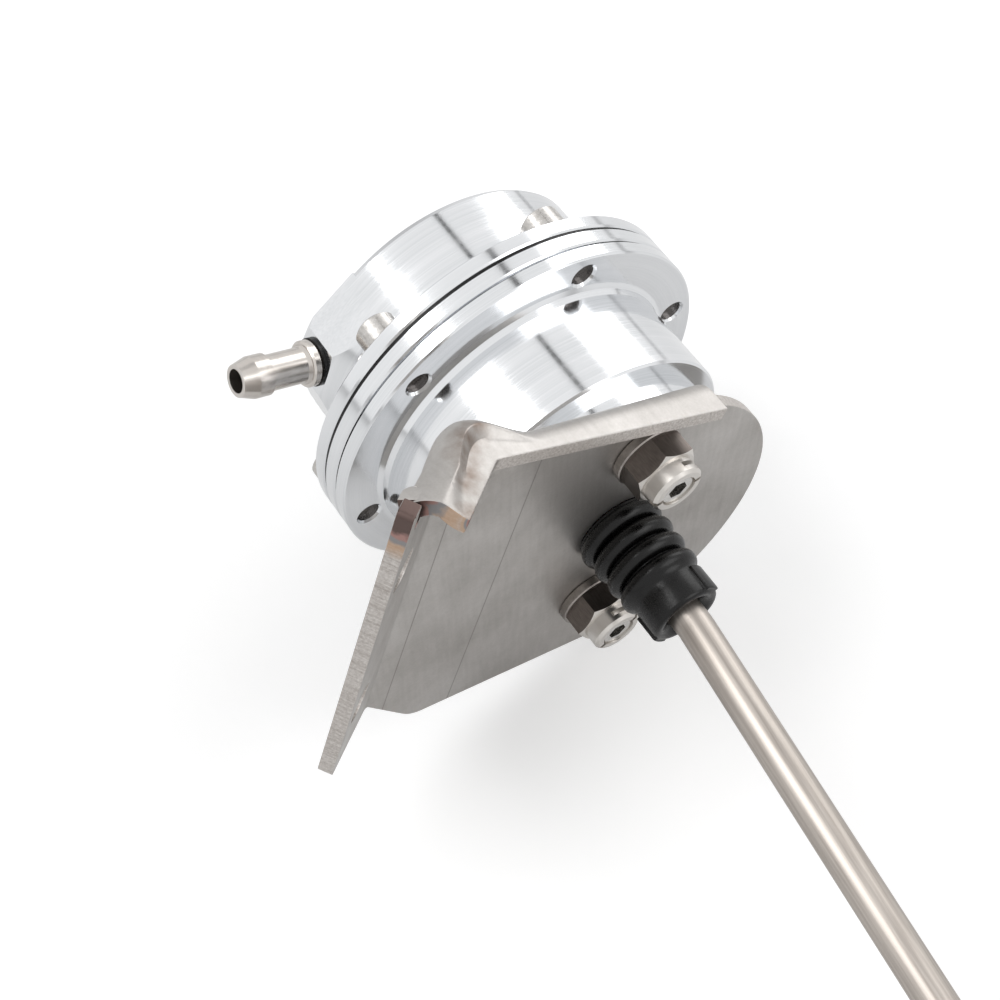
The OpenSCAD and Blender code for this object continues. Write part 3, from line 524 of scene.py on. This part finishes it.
def lip_section(s):
    """One cross section of the sheet's back surface, from the plate up to the lip's free edge.

    The lip folds on into an ear at the bracket's corner, where the metal was stretched over both bends, so
    the section sinks to the front, grows in radius and bulges before it flattens out on the side flange.
    The numbers for this were fitted to the photograph's outline and creases.
    """
    sink_deepest, bulge_fullest = -41.5, -43
    fold_steps, face_steps = 8, 7
    # sink moves the fold to the front, bulge and rise lift the lip's face, and crease is the share of that
    # face over which the rise fades out
    if s > sink_deepest:
        sink = 4.7 * smooth((EAR_START - s) / (EAR_START - sink_deepest))
    else:
        sink = 0.3 + 4.4 * (1 - smooth((sink_deepest - s) / 8.5))
    if s > bulge_fullest:
        bulge = smooth((EAR_START - s) / (EAR_START - bulge_fullest))
    else:
        bulge = 1 - smooth((bulge_fullest - s) / 10)
    rise = smooth((EAR_START - s) / 11) + 0.7 * bulge
    radius = 3.5 + 1.2 * smooth((-33 - s) / 20)
    crease = between(s, ((-31, 0.5), (-39, 0.37), (-49, 0.24), (-52, 0.24), (-58.5, 1.0)))
    # the section starts at a depth below the fold, and turns with the side bend
    root = lip_line(s)
    end_depth = (lip_line(EAR_END) - SIDE_POINT).dot(SIDE_UP) - EAR_FOOT_UP
    depth = 4.75 + 3.25 * smooth((LIP_START - s) / 12) + (end_depth - 8) * smooth((-50 - s) / 6)
    face = swung(FRONT, -SIDE_OUT, SIDE_BEND * clamped((-42.5 - s) / 9.5))
    out = LIP_OUT.lerp(SIDE_UP, clamped((-36 - s) / 11.2)).normalized()
    if s >= LIP_END:
        edge = root + lip_height(s) * FRONT
    else:
        corner = LIP_U * LIP_OUT + LIP_END * LIP_RUN + lip_height(LIP_END) * FRONT
        edge = corner.lerp(on_bend(SIDE_BEND, *EAR_CORNER), (LIP_END - s) / (LIP_END - EAR_END))
    # up to the fold, round it, and along the face to the free edge
    points = [root - depth * out]
    for share in (0.35, 0.7, 1.0):
        points.append(root - (depth + (radius - depth) * share) * out - sink * smooth(share) * face)
    for i in range(1, fold_steps + 1):
        a = math.radians(90 * i / fold_steps)
        up = -radius + radius * math.sin(a) + rise * (i / fold_steps) ** 2
        points.append(root + up * out + (radius - sink - radius * math.cos(a)) * face)
    shoulder = points[-1] - rise * out
    for i in range(1, face_steps + 1):
        share = i / face_steps
        points.append(shoulder.lerp(edge, share) + rise * (1 - smooth(share / crease)) * out)
    return points


def arc_points(centre, radius, first, last, count):
    """Points of an arc in the bracket's plane, between two angles in degrees."""
    return [centre + radius * turned_to(first + (last - first) * i / count) for i in range(count + 1)]


def rounded(before, at, after, radius, count=8):
    """Points of a rounded corner in a plane."""
    u = (before - at).normalized()
    v = (after - at).normalized()
    half = u.angle(v) / 2
    middle = at + (u + v).normalized() * radius / math.sin(half)
    start = at + u * radius / math.tan(half) - middle
    end = at + v * radius / math.tan(half) - middle
    turn = start.angle(end)
    points = []
    for i in range(count + 1):
        first = math.sin(turn * (1 - i / count))
        last = math.sin(turn * i / count)
        points.append(middle + (start * first + end * last) / math.sin(turn))
    return points


def closed_edges(loop):
    """The pairs of neighbours in a closed loop."""
    return list(zip(loop, loop[1:] + loop[:1]))


def fill_loops(piece, loops):
    """Fills the flat area between an outline and its holes."""
    wanted = {frozenset(pair) for loop in loops for pair in closed_edges(loop)}
    bpy.ops.mesh.select_mode(type="EDGE")
    bpy.ops.mesh.select_all(action="DESELECT")
    bpy.ops.object.mode_set(mode="OBJECT")
    for edge in piece.data.edges:
        edge.select = frozenset(edge.vertices) in wanted
    bpy.ops.object.mode_set(mode="EDIT")
    bpy.ops.mesh.fill(use_beauty=True)


def bracket_sheet():
    """The bracket: its back surface as one folded sheet, thickened to the front.

    The ear is curved both ways and runs on into two bends, which no modelling operation gives, so the lip's
    cross sections are worked out as points. The plate and the flange are filled from their outlines.
    """
    stations = [LIP_START, -5, -14, -22, LIP_PLAIN_END] + evenly(LIP_PLAIN_END, BEND_START, 22)
    bend_first = len(stations) - 1
    stations += evenly(BEND_START, BEND_END, 6)
    bend_last = len(stations) - 1
    stations += evenly(BEND_END, EAR_END, 12)
    rows = [lip_section(s) for s in stations]
    wide = len(rows[0])
    vertices = [point for row in rows for point in row]
    faces = [(i * wide + k, i * wide + k + 1, (i + 1) * wide + k + 1, (i + 1) * wide + k)
             for i in range(len(rows) - 1) for k in range(wide - 1)]

    def put(points):
        vertices.extend(points)
        return list(range(len(vertices) - len(points), len(vertices)))

    def ring(centre, radius, count, a, b):
        angles = [math.tau * i / count for i in range(count)]
        return put([centre + radius * (math.cos(angle) * a + math.sin(angle) * b) for angle in angles])

    def flat(across, up):
        return on_bend(SIDE_BEND, across, 0, up)

    # the side bend below the ear, one strip for each of its steps
    turns = [math.degrees((BEND_START - s) / SIDE_R) for s in stations[bend_first:bend_last + 1]]
    feet = put([on_bend(turn, 0, 0, FLANGE_LOW) for turn in turns])
    for i in range(bend_last - bend_first):
        row = bend_first + i
        faces.append((row * wide, (row + 1) * wide, feet[i + 1], feet[i]))

    # the plate: a disc that is cut off below, with a heel under the side bend
    disc, disc_radius, disc_low, disc_high = Vector((0, -3.5, -7)), 34.7, -62, 60.7
    foot = Vector((0, 7.4, -40))
    heel = Vector((0, -40.4, -25))
    outline = rounded(vertices[feet[0]], heel, foot, 6)
    outline += rounded(heel, foot, disc + disc_radius * turned_to(disc_low), 8)
    outline += arc_points(disc, disc_radius, disc_low, disc_high, 40)[:-1]
    plate = [i * wide for i in range(bend_first + 1)] + [feet[0]] + put(outline)
    plate_rings = [ring(Vector(), ROD_HOLE, 48, turned_to(0), turned_to(90))]
    plate_rings += [ring(middle, HOLE, 32, turned_to(0), turned_to(90)) for middle in STUDS]

    # the flange, with a slot that parts its outer strip from the ear and ends in a half circle
    slot_across, slot_up, slot_radius = 9.7, 32.5, 0.9
    angles = [math.pi * i / 8 for i in range(9)]
    slot_end = [flat(slot_across - slot_radius * math.cos(angle), slot_up - slot_radius * math.sin(angle))
                for angle in angles]
    top = [flat(slot_across + slot_radius, FLANGE_TOP), flat(FLANGE_WIDE, FLANGE_TOP)]
    low = [flat(FLANGE_WIDE, FLANGE_LOW), flat(0, FLANGE_LOW)]
    side = flat(FLANGE_WIDE, 0)
    rim = slot_end + [top[0]] + rounded(top[0], top[1], side, 0.8, 4) + rounded(side, low[0], low[1], 1.2, 4)
    flange = [i * wide for i in range(bend_last, len(rows))] + put(rim) + [feet[-1]]
    flange_rings = [ring(flat(HOLES_ACROSS, up), HOLE, 40, FLANGE_OUT, SIDE_UP) for up in FLANGE_HOLES]

    groups = ([plate] + plate_rings, [flange] + flange_rings)
    edges = [pair for loops in groups for loop in loops for pair in closed_edges(loop)]
    piece = new_piece("bracket_sheet", vertices, edges, faces)
    for loops in groups:
        fill_loops(piece, loops)
    bpy.ops.mesh.select_all(action="SELECT")
    bpy.ops.mesh.remove_doubles(threshold=MERGE)
    bpy.ops.mesh.normals_make_consistent(inside=False)
    bpy.ops.object.mode_set(mode="OBJECT")
    largest = max(piece.data.polygons, key=lambda face: face.area if abs(face.center.x) < MERGE else 0)
    if largest.normal.x > 0:
        bpy.ops.object.mode_set(mode="EDIT")
        bpy.ops.mesh.flip_normals()
        bpy.ops.object.mode_set(mode="OBJECT")

    # where the corner was worked hot, and where the brown along the ear's crease is also painted shade:
    # (place along the lip, point of its section, reach) for the face, and spots for the cut edge
    hot = ((-41, 11, 4.0), (-43.5, 12, 4.5), (-46, 12, 4.5), (-49, 13, 4.0), (-52, 14, 3.0), (-57, 17, 3.0))
    spots = [(lip_section(s)[k], reach) for s, k, reach in hot]
    # the cut edge's spots place its heat tints, and the painted shade on the flange's top cut face
    edge_tint_and_shade_spots = [(on_bend(SIDE_BEND, 13.5, 1.2, 38.5), 10.5), (lip_section(EAR_END)[5], 6.5),
                  (on_bend(SIDE_BEND, 8.8, 10.0, 35.5), 3.0)]
    dress(piece, blasted_stainless("bead_blasted_stainless", spots),
          laser_cut_edge("laser_cut_edge", FRONT, edge_tint_and_shade_spots),
          laser_cut_edge("laser_cut_flange_edge", FLANGE_FRONT, edge_tint_and_shade_spots))
    use_modifier(piece, "SOLIDIFY", thickness=SHEET * MM, offset=-1.0, use_even_offset=True,
                 use_quality_normals=True, material_offset_rim=1)
    bevel_edges(piece, 0.22, 50)
    # the rim past the side bend is cut square to the flange
    for face in piece.data.polygons:
        if face.material_index == 1 and (face.center / MM - SIDE_POINT).dot(SIDE_OUT) > 2.0:
            face.material_index = 2
    smooth_shade(piece, 35)
    use_modifier(piece, "WEIGHTED_NORMAL", keep_sharp=True)
    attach(piece, "canister")
    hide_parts("bracket")


# The soft pieces

def fold_arc(x, radius, size, first, last, count):
    """Points round a fold's middle, by their angle from straight outwards."""
    angles = [math.radians(first + (last - first) * i / count) for i in range(count + 1)]
    return [(x + size * math.sin(angle), radius + size * math.cos(angle)) for angle in angles]


def bellows_boot(rubber):
    """Four folds over the bush, a plain neck on the rod, and a rib on each side of it at the mould's seam."""
    pitch, taper = 3.4, 0.16
    folds = [(4.4 + pitch * i, 6.0 - taper * i) for i in range(4)]
    outer_size, inner_size = 1.6, 0.7
    base = [(2.6, 5.4), (2.6, 6.75), (2.75, 7.0)]
    neck = [(16.35, 6.12), (17.0, 6.0), (18.0, 6.0), (21.3, 6.0), (21.65, 5.9), (21.9, 5.6), (22.0, 5.2),
            (21.9, 4.7), (21.5, 4.1), (20.9, 3.6), (20.4, 3.15)]
    bore = [(16.6, 3.15), (16.2, 4.9)]
    groove_on_bush = [(4.9, 5.1), (4.4, 5.1), (4.4, 4.4), (3.5, 4.4), (3.5, 5.2)]
    outline = list(base)
    for x, radius in folds:
        first = x == folds[0][0]
        last = x == folds[-1][0]
        outline += fold_arc(x, radius, outer_size, -60 if first else -98, 55 if last else 98, 14)
        if not last:
            outline.append((x + pitch / 2, radius - 0.75))
    outline += neck + bore
    for x, radius in reversed(folds[1:]):
        outline += fold_arc(x, radius, inner_size, 90, -90, 6)
    outline += groove_on_bush
    piece = spun_piece("bellows_boot", outline + outline[:1], 96)
    seam = turned_to(38)
    rib_start, rib_end, rib_height = 16.8, 21.7, 0.55
    rib_share = 0.956

    def on_rib(at):
        """On the neck's outside, within 17 degrees of the mould's seam."""
        around = Vector((0, at.y, at.z))
        near_seam = abs(around.normalized().dot(seam)) > rib_share
        return rib_start < at.x < rib_end and around.length > 5.7 and near_seam

    pick_faces(piece, on_rib)
    bpy.ops.mesh.extrude_region_shrink_fatten(TRANSFORM_OT_shrink_fatten={"value": rib_height * MM})
    bpy.ops.object.mode_set(mode="OBJECT")
    bevel_edges(piece, 0.2, 45)
    dress(piece, rubber)
    smooth_shade(piece, 50)
    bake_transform(piece)
    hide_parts("boot")


def rolling_diaphragm(rubber):
    """The rolling diaphragm in two sleeves that meet in its fold, one at the rim and one at the piston."""
    thick, rim, hole = 0.5, 34.6, 2.6
    leg_out, leg_in = 23.7, 20.3
    middle = (leg_out + leg_in) / 2
    big = (leg_out - leg_in) / 2
    small = big - thick
    fold = -27.9
    angles = [math.radians(a) for a in range(0, 91, 15)]
    half = [(fold + big * math.sin(angle), big * math.cos(angle)) for angle in angles]
    slim = [(fold + small * math.sin(angle), small * math.cos(angle)) for angle in reversed(angles)]
    outer = [(-30.3, rim), (-29.8, rim), (-29.8, leg_out + 0.8), (-29.6, leg_out + 0.3), (-29.2, leg_out)]
    outer += [(x, middle + r) for x, r in half + slim] + [(-30.3, leg_out - thick)]
    inner = [(-41.1, hole), (-41.1, leg_in + 0.2), (-40.9, leg_in + 0.5)]
    inner += [(x, middle - r) for x, r in slim[::-1] + half[::-1]]
    inner += [(-40.3, leg_in), (-40.6, leg_in - 0.4), (-40.6, hole)]
    for name, outline, first, second, start, end in (
            ("diaphragm_outer", outer, "canister", "rod", -31.0, -22.0),
            ("diaphragm_inner", inner, "rod", "canister", -39.75, -16.0)):
        piece = spun_piece(name, outline + outline[:1], 72)
        bpy.ops.object.mode_set(mode="OBJECT")
        dress(piece, rubber)
        smooth_shade(piece, 40)
        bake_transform(piece)
        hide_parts("diaphragm")


def coil_spring(steel):
    """The main spring: a round wire with its first and last turns closed."""
    wire, radius, turns, steps = 2.4, 15.4, 5, 36
    back, front = -36.8, -10.3
    closed_pitch = 2.5
    open_pitch = (front - back - 2 * closed_pitch) / (turns - 2)
    curve = bpy.data.curves.new("coil_spring", "CURVE")
    curve.dimensions = "3D"
    curve.bevel_depth = wire / 2 * MM
    curve.bevel_resolution = 4
    curve.use_fill_caps = True
    line = curve.splines.new("POLY")
    line.points.add(turns * steps)
    for i, point in enumerate(line.points):
        t = i / steps
        if t < 1:
            x = back + t * closed_pitch
        elif t > turns - 1:
            x = front - (turns - t) * closed_pitch
        else:
            x = back + closed_pitch + open_pitch * (t - 1)
        point.co = (*((x * FRONT + radius * turned_to(360 * t)) * MM), 1)
    piece = bpy.data.objects.new("coil_spring", curve)
    bpy.context.scene.collection.objects.link(piece)
    bpy.ops.object.select_all(action="DESELECT")
    piece.select_set(True)
    bpy.context.view_layer.objects.active = piece
    bpy.ops.object.convert(target="MESH")
    piece = bpy.context.object
    dress(piece, steel)
    smooth_shade(piece, 50)
    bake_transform(piece)
    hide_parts("main_spring")


# The CAD pieces

def dress_nodes(rubber, spring):
    """Dresses the CAD nodes, those too that a piece made here replaces and hides."""
    aluminium = turned_metal("turned_polished_aluminium", ("#dcdee0", "#e8e9eb"), (0.1, 0.15),
                             Vector(), FRONT, 0.2, 0.00015)
    stainless = turned_metal("turned_stainless_nipple", ("#c4beb8", "#d0cbc6"), (0.2, 0.27),
                             NIPPLE_POINT, NIPPLE, 0.15, 0.0003)
    nut = hexagon_nut("stainless_lock_nut")
    washer = worked_steel("pressed_stainless_washer", ("#8d8782", "#a19b96"), (0.28, 0.36))
    bright = worked_steel("bright_steel", ("#c2c0bd", "#d6d4d1"), (0.18, 0.28))
    screw = cap_screw("stainless_cap_screw")
    zinc = worked_steel("zinc_plated_steel", ("#b4b7bb", "#ced0d3"), (0.28, 0.4))
    bronze = worked_steel("sintered_bronze", ("#9a6b3f", "#b58553"), (0.4, 0.5), 3.0, 0.01)
    rod = drawn_rod("ground_stainless_rod", ("#a39b94", "#bdb6af"), TAIL_POINT, TAIL)
    finish = {
        aluminium: ("cap_housing", "middle_ring", "lower_housing", "piston"),
        stainless: ("hose_barb",),
        nut: ("lock_nuts",),
        washer: ("stud_washers",),
        bright: ("mounting_studs", "clevis_pin"),
        screw: ("flange_screws",),
        zinc: ("jam_nut", "clevis", "spring_seat", "retainer_plate", "piston_nut", "bracket"),
        spring: ("main_spring", "pin_clip"),
        bronze: ("guide_bush",),
        rubber: ("boot", "barb_seal", "ring_seal", "diaphragm"),
        rod: ("rod",),
    }
    for material, names in finish.items():
        for name in names:
            dress(parts[name], material)
            smooth_shade(parts[name], 32)


# Table and light

def pale_floor():
    """A white table half a millimetre under the object, whose shadow it takes.

    Its own glow keeps it white to the camera. In reflections the glow is much weaker.
    """
    low = cad_box[0]
    bpy.ops.object.select_all(action="DESELECT")
    bpy.ops.mesh.primitive_plane_add(size=6, location=(0.05, 0, low.z - 0.5 * MM))
    floor = bpy.context.object
    floor.name = "table"
    bpy.ops.object.transform_apply(location=True, rotation=True, scale=True)
    material = bpy.data.materials.new("white_table")
    material.use_nodes = True
    tree = material.node_tree
    tree.nodes.clear()
    path = add(tree, "ShaderNodeLightPath")
    reflected, viewed = path.outputs["Is Glossy Ray"], path.outputs["Is Camera Ray"]
    seen = add(tree, "ShaderNodeMath", {0: reflected, 1: 0.15, 2: viewed},
               operation="MULTIPLY_ADD").outputs[0]
    strength = add(tree, "ShaderNodeMath", {0: seen, 1: 0.3}, operation="MULTIPLY").outputs[0]
    diffuse = add(tree, "ShaderNodeBsdfDiffuse", {"Color": (0.82, 0.82, 0.82, 1)})
    glow = add(tree, "ShaderNodeEmission", {"Color": (1, 1, 1, 1), "Strength": strength})
    both = add(tree, "ShaderNodeAddShader", {0: diffuse.outputs[0], 1: glow.outputs[0]})
    add(tree, "ShaderNodeOutputMaterial", {"Surface": both.outputs[0]})
    floor.data.materials.append(material)


def studio_light():
    """A white tent and three soft lamps. The tent is pure white to the eye, and lights at half of that."""
    world = bpy.data.worlds.new("studio")
    bpy.context.scene.world = world
    world.use_nodes = True
    tree = world.node_tree
    tree.nodes.clear()
    path = add(tree, "ShaderNodeLightPath")
    reflected, through = path.outputs["Is Glossy Ray"], path.outputs["Is Transmission Ray"]
    shiny = add(tree, "ShaderNodeMath", {0: reflected, 1: through}, operation="ADD").outputs[0]
    seen = add(tree, "ShaderNodeMath", {0: shiny, 1: path.outputs["Is Camera Ray"]}, operation="ADD",
               use_clamp=True).outputs[0]
    level = add(tree, "ShaderNodeMapRange", {"Value": seen, "To Min": 0.5, "To Max": 1.0})
    sky = add(tree, "ShaderNodeBackground", {"Color": (1, 1, 1, 1), "Strength": level.outputs["Result"]})
    add(tree, "ShaderNodeOutputWorld", {"Surface": sky.outputs[0]})
    lamps = (("key", (-0.25, -0.45, 0.75), 0.5, 3.2),
             ("fill", (0.45, 0.45, 0.6), 0.6, 2.0),
             ("rim", (-0.3, 0.75, 0.4), 0.5, 1.6))
    for name, place, size, power in lamps:
        lamp = bpy.data.lights.new(name, "AREA")
        lamp.size = size
        lamp.energy = power
        holder = bpy.data.objects.new(name, lamp)
        bpy.context.scene.collection.objects.link(holder)
        holder.location = place
        holder.rotation_mode = "QUATERNION"
        holder.rotation_quaternion = (Vector(place) - Vector((0.02, 0, 0))).to_track_quat("Z", "Y")


def dark_card(name, centre, along, across, length, width, code):
    """A dark card in the tent, unseen by the camera, which draws the dark lines in the polished faces."""
    bpy.ops.object.select_all(action="DESELECT")
    bpy.ops.mesh.primitive_plane_add(size=1)
    card = bpy.context.object
    card.name = name
    along, across = Vector(along).normalized(), Vector(across).normalized()
    across = (across - across.dot(along) * along).normalized()
    out = along.cross(across)
    rows = [[along[i] * length, across[i] * width, out[i], centre[i]] for i in range(3)]
    card.data.transform(Matrix(rows + [[0, 0, 0, 1]]))
    material = new_material(name + "_felt", Base_Color=linear(code), Roughness=1.0)[0]
    card.data.materials.append(material)
    card.visible_camera = False
    card.visible_shadow = False


place_camera()
black = black_rubber("moulded_rubber")
oiled = worked_steel("oiled_spring_steel", ("#46464a", "#5c5c60"), (0.3, 0.43))
dress_nodes(black, oiled)
bracket_sheet()
bellows_boot(black)
rolling_diaphragm(black_rubber("rubber_coated_fabric"))
coil_spring(oiled)
pale_floor()
studio_light()
dark_card("strip", (-0.52, 0.29, 0.82), (1, 0, 0), (0, 0.95, -0.3), 0.5, 0.05, "#202020")

bpy.context.scene.view_settings.view_transform = "Standard"
